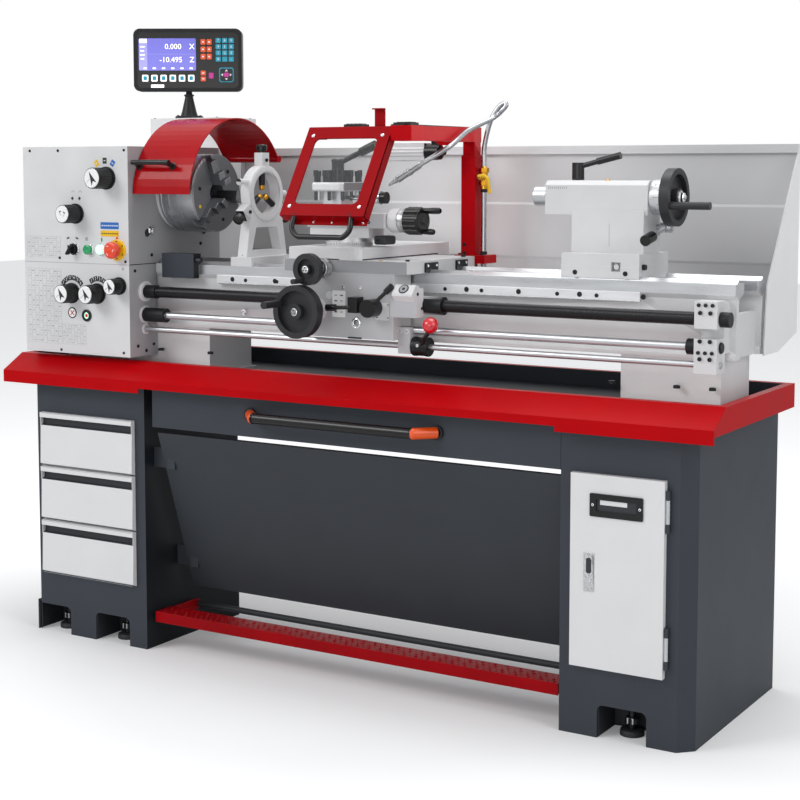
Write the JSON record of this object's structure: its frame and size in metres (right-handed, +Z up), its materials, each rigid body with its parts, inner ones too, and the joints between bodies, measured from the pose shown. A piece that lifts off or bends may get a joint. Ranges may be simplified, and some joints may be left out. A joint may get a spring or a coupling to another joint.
{
  "type": "manual lathe",
  "caption": "Manual metal lathe on a two-pedestal stand with chip tray, guarded chuck, carriage, tailstock, drawers and position display.",
  "frame": {"origin": "on the floor, midway across the chip tray and midway between the foremost wheel handle and the rearmost edge of the display", "axes": "+X along the bed from headstock to tailstock, +Y from the operator to the back, +Z up"},
  "size_m": [1.97, 0.6872, 1.612],
  "materials": {
    "graphite_paint": "satin",
    "red_paint": "semi-gloss",
    "dark_red_paint": "semi-gloss",
    "light_sheet_paint": "satin",
    "light_casting_paint": "satin paint",
    "pale_paint": "satin",
    "bare_steel": "machined",
    "black_plastic": "gloss",
    "black_metal": "gloss",
    "green_plastic": "gloss",
    "orange_plastic": "gloss"
  },
  "bodies": {
    "stand": {"left_pedestal": "graphite_paint", "right_pedestal": "graphite_paint", "chip_tray": "red_paint", "kick_panel": "graphite_paint", "splash_guard": "light_sheet_paint", "bed": "light_casting_paint", "headstock": "light_casting_paint", "gearbox": "light_casting_paint", "electric_box": "pale_paint", "motor": "graphite_paint", "rod_bracket": "light_casting_paint", "coolant_tank": "bare_steel"},
    "spindle_set": {"spindle": "bare_steel", "chuck": "bare_steel"},
    "carriage": {"saddle": "light_casting_paint", "apron": "light_casting_paint", "guard_post": "red_paint", "coolant_pipe": "bare_steel"},
    "jaw_1": {"jaw_1": "bare_steel"},
    "jaw_2": {"jaw_2": "bare_steel"},
    "jaw_3": {"jaw_3": "bare_steel"},
    "motor_pulley": {"motor_pulley": "bare_steel"},
    "leadscrew": {"leadscrew": "bare_steel"},
    "feed_rod": {"feed_rod": "bare_steel"},
    "control_rod": {"control_rod": "bare_steel"},
    "start_lever": {"start_lever": "bare_steel"},
    "end_cover": {"end_cover": "light_sheet_paint"},
    "chuck_guard": {"chuck_guard": "red_paint"},
    "speed_knob": {"speed_knob": "black_plastic"},
    "mode_knob": {"mode_knob": "black_plastic"},
    "feed_knob_a": {"feed_knob_a": "black_plastic"},
    "feed_knob_b": {"feed_knob_b": "black_plastic"},
    "feed_knob_c": {"feed_knob_c": "black_plastic"},
    "selector_switch": {"selector_switch": "black_plastic"},
    "start_button": {"start_button": "green_plastic"},
    "emergency_stop": {"emergency_stop": "orange_plastic"},
    "carriage_wheel": {"carriage_wheel": "black_metal"},
    "feed_lever": {"feed_lever": "black_metal"},
    "half_nut_lever": {"half_nut_lever": "black_metal"},
    "cross_slide": {"cross_slide": "light_casting_paint"},
    "cross_wheel": {"cross_wheel": "black_metal"},
    "compound_base": {"compound_base": "light_casting_paint"},
    "top_slide": {"top_slide": "light_casting_paint"},
    "top_wheel": {"top_wheel": "black_metal"},
    "tool_post": {"tool_post": "bare_steel"},
    "clamp_lever": {"clamp_lever": "black_metal"},
    "tool_guard": {"tool_guard": "red_paint"},
    "tailstock": {"tailstock": "light_casting_paint"},
    "quill": {"quill": "bare_steel"},
    "tail_wheel": {"tail_wheel": "black_metal"},
    "quill_lock": {"quill_lock": "black_metal"},
    "tail_clamp": {"tail_clamp": "bare_steel"},
    "steady_rest": {"steady_rest": "light_casting_paint"},
    "drawer_1": {"drawer_1": "pale_paint"},
    "drawer_2": {"drawer_2": "pale_paint"},
    "drawer_3": {"drawer_3": "pale_paint"},
    "cabinet_door": {"cabinet_door": "pale_paint"},
    "chip_drawer": {"chip_drawer": "graphite_paint"},
    "foot_brake": {"foot_brake": "dark_red_paint"},
    "position_display": {"position_display": "black_plastic"}
  },
  "joints": [
    {"name": "spindle_turn", "type": "hinge", "parent": "stand", "child": "spindle_set", "pos_m": [-0.565, -0.00863, 1.163], "axis": [1, 0, 0], "continuous": true},
    {"name": "jaw_1_slide", "type": "slide", "parent": "spindle_set", "child": "jaw_1", "axis": [0, -0.342, 0.9397], "range_m": [-0.012, 0.018]},
    {"name": "jaw_2_slide", "type": "slide", "parent": "spindle_set", "child": "jaw_2", "axis": [0, -0.6428, -0.766], "range_m": [-0.012, 0.018]},
    {"name": "jaw_3_slide", "type": "slide", "parent": "spindle_set", "child": "jaw_3", "axis": [0, 0.9848, -0.1736], "range_m": [-0.012, 0.018]},
    {"name": "motor_turn", "type": "hinge", "parent": "stand", "child": "motor_pulley", "pos_m": [-0.94, 0.15537, 0.89], "axis": [1, 0, 0], "continuous": true},
    {"name": "leadscrew_turn", "type": "hinge", "parent": "stand", "child": "leadscrew", "pos_m": [0, -0.14863, 0.914], "axis": [1, 0, 0], "continuous": true},
    {"name": "feed_rod_turn", "type": "hinge", "parent": "stand", "child": "feed_rod", "pos_m": [0, -0.14863, 0.855], "axis": [1, 0, 0], "continuous": true},
    {"name": "control_rod_turn", "type": "hinge", "parent": "stand", "child": "control_rod", "pos_m": [0, -0.14863, 0.818], "axis": [1, 0, 0], "range_deg": [0, 40]},
    {"name": "start_lever_turn", "type": "hinge", "parent": "carriage", "child": "start_lever", "pos_m": [0.243, -0.14863, 0.818], "axis": [1, 0, 0], "range_deg": [0, 40]},
    {"name": "end_cover_hinge", "type": "hinge", "parent": "stand", "child": "end_cover", "pos_m": [-0.944, 0.22937, 1], "axis": [0, 0, -1], "range_deg": [0, 100]},
    {"name": "chuck_guard_hinge", "type": "hinge", "parent": "stand", "child": "chuck_guard", "pos_m": [-0.5, 0.18842, 1.25236], "axis": [-1, 0, 0], "range_deg": [0, 75]},
    {"name": "speed_knob_turn", "type": "hinge", "parent": "stand", "child": "speed_knob", "pos_m": [-0.648, -0.20863, 1.202], "axis": [0, 1, 0], "range_deg": [-150, 150]},
    {"name": "mode_knob_turn", "type": "hinge", "parent": "stand", "child": "mode_knob", "pos_m": [-0.753, -0.20863, 1.111], "axis": [0, 1, 0], "range_deg": [-45, 45]},
    {"name": "feed_knob_a_turn", "type": "hinge", "parent": "stand", "child": "feed_knob_a", "pos_m": [-0.771, -0.20863, 0.906], "axis": [0, 1, 0], "range_deg": [-90, 90]},
    {"name": "feed_knob_b_turn", "type": "hinge", "parent": "stand", "child": "feed_knob_b", "pos_m": [-0.684, -0.20863, 0.908], "axis": [0, 1, 0], "range_deg": [-90, 90]},
    {"name": "feed_knob_c_turn", "type": "hinge", "parent": "stand", "child": "feed_knob_c", "pos_m": [-0.611, -0.20863, 0.93], "axis": [0, 1, 0], "range_deg": [-60, 60]},
    {"name": "selector_switch_turn", "type": "hinge", "parent": "stand", "child": "selector_switch", "pos_m": [-0.761, -0.20863, 1.02], "axis": [0, 1, 0], "range_deg": [-45, 45]},
    {"name": "start_button_push", "type": "slide", "parent": "stand", "child": "start_button", "axis": [0, 1, 0], "range_m": [0, 0.003], "stiffness_N_per_m": 600, "springref_m": -0.002},
    {"name": "emergency_stop_push", "type": "slide", "parent": "stand", "child": "emergency_stop", "axis": [0, 1, 0], "range_m": [0, 0.004]},
    {"name": "carriage_slide", "type": "slide", "parent": "stand", "child": "carriage", "axis": [1, 0, 0], "range_m": [-0.1, 0.05]},
    {"name": "carriage_wheel_turn", "type": "hinge", "parent": "carriage", "child": "carriage_wheel", "pos_m": [-0.018, -0.26863, 0.896], "axis": [0, 1, 0], "range_deg": [-1800, 900]},
    {"name": "feed_lever_turn", "type": "hinge", "parent": "carriage", "child": "feed_lever", "pos_m": [0.14, -0.20863, 0.906], "axis": [0, 1, 0], "range_deg": [-20, 20]},
    {"name": "half_nut_lever_turn", "type": "hinge", "parent": "carriage", "child": "half_nut_lever", "pos_m": [0.096, -0.20863, 0.912], "axis": [0, 1, 0], "range_deg": [-30, 0]},
    {"name": "cross_slide_move", "type": "slide", "parent": "carriage", "child": "cross_slide", "axis": [0, 1, 0], "range_m": [-0.045, 0.045]},
    {"name": "cross_wheel_turn", "type": "hinge", "parent": "carriage", "child": "cross_wheel", "pos_m": [0.002, -0.25863, 0.994], "axis": [0, 1, 0], "range_deg": [-3240, 3240]},
    {"name": "compound_swivel", "type": "hinge", "parent": "cross_slide", "child": "compound_base", "pos_m": [0.002, -0.08363, 1.042], "axis": [0, 0, 1], "range_deg": [-20, 30]},
    {"name": "top_slide_move", "type": "slide", "parent": "compound_base", "child": "top_slide", "axis": [-1, 0, 0], "range_m": [-0.04, 0.04]},
    {"name": "top_wheel_turn", "type": "hinge", "parent": "top_slide", "child": "top_wheel", "pos_m": [0.15, -0.08363, 1.104], "axis": [-1, 0, 0], "range_deg": [-4800, 4800]},
    {"name": "tool_post_turn", "type": "hinge", "parent": "top_slide", "child": "tool_post", "pos_m": [-0.03, -0.08363, 1.12], "axis": [0, 0, 1], "range_deg": [0, 90]},
    {"name": "clamp_lever_turn", "type": "hinge", "parent": "tool_post", "child": "clamp_lever", "pos_m": [-0.03, -0.08363, 1.2], "axis": [0, 0, 1], "range_deg": [0, 30]},
    {"name": "tool_guard_hinge", "type": "hinge", "parent": "carriage", "child": "tool_guard", "pos_m": [0.067, -0.15763, 1.304], "axis": [-1, 0, 0], "range_deg": [0, 90]},
    {"name": "tailstock_slide", "type": "slide", "parent": "stand", "child": "tailstock", "axis": [1, 0, 0], "range_m": [-0.1, 0.06]},
    {"name": "quill_slide", "type": "slide", "parent": "tailstock", "child": "quill", "axis": [-1, 0, 0], "range_m": [0, 0.1]},
    {"name": "tail_wheel_turn", "type": "hinge", "parent": "tailstock", "child": "tail_wheel", "pos_m": [0.8, -0.00863, 1.163], "axis": [-1, 0, 0], "range_deg": [0, 7200]},
    {"name": "quill_lock_turn", "type": "hinge", "parent": "tailstock", "child": "quill_lock", "pos_m": [0.553, 0.02137, 1.2], "axis": [0, 0, 1], "range_deg": [-30, 60]},
    {"name": "tail_clamp_turn", "type": "hinge", "parent": "tailstock", "child": "tail_clamp", "pos_m": [0.76, 0.02137, 1.096], "axis": [1, 0, 0], "range_deg": [0, 20]},
    {"name": "steady_rest_slide", "type": "slide", "parent": "stand", "child": "steady_rest", "axis": [1, 0, 0], "range_m": [-0.025, 0.02]},
    {"name": "drawer_1_slide", "type": "slide", "parent": "stand", "child": "drawer_1", "axis": [0, -1, 0], "range_m": [0, 0.28]},
    {"name": "drawer_2_slide", "type": "slide", "parent": "stand", "child": "drawer_2", "axis": [0, -1, 0], "range_m": [0, 0.28]},
    {"name": "drawer_3_slide", "type": "slide", "parent": "stand", "child": "drawer_3", "axis": [0, -1, 0], "range_m": [0, 0.28]},
    {"name": "door_hinge", "type": "hinge", "parent": "stand", "child": "cabinet_door", "pos_m": [0.877, -0.21563, 0.36], "axis": [0, 0, 1], "range_deg": [0, 110]},
    {"name": "chip_drawer_slide", "type": "slide", "parent": "stand", "child": "chip_drawer", "axis": [0, -1, 0], "range_m": [0, 0.3]},
    {"name": "foot_brake_press", "type": "hinge", "parent": "stand", "child": "foot_brake", "pos_m": [0, -0.01863, 0.08], "axis": [1, 0, 0], "range_deg": [0, 10], "stiffness_Nm_per_rad": 20, "springref_deg": -28.65},
    {"name": "display_swivel", "type": "hinge", "parent": "stand", "child": "position_display", "pos_m": [-0.74585, 0.24837, 1.5], "axis": [0, 0, 1], "range_deg": [-40, 40]}
  ],
  "couplings": [
    {"joint": "jaw_2_slide", "follows": "jaw_1_slide", "ratio": 1},
    {"joint": "jaw_3_slide", "follows": "jaw_1_slide", "ratio": 1},
    {"joint": "motor_turn", "follows": "spindle_turn", "ratio": 1.75},
    {"joint": "leadscrew_turn", "follows": "spindle_turn", "ratio": 0.25},
    {"joint": "feed_rod_turn", "follows": "spindle_turn", "ratio": 0.1},
    {"joint": "start_lever_turn", "follows": "control_rod_turn", "ratio": 1},
    {"joint": "carriage_wheel_turn", "follows": "carriage_slide", "rad_per_m": 314.16},
    {"joint": "cross_wheel_turn", "follows": "cross_slide_move", "rad_per_m": 1256.6},
    {"joint": "top_wheel_turn", "follows": "top_slide_move", "rad_per_m": 2094.4},
    {"joint": "quill_slide", "follows": "tail_wheel_turn", "m_per_rad": 0.00079577}
  ]
}
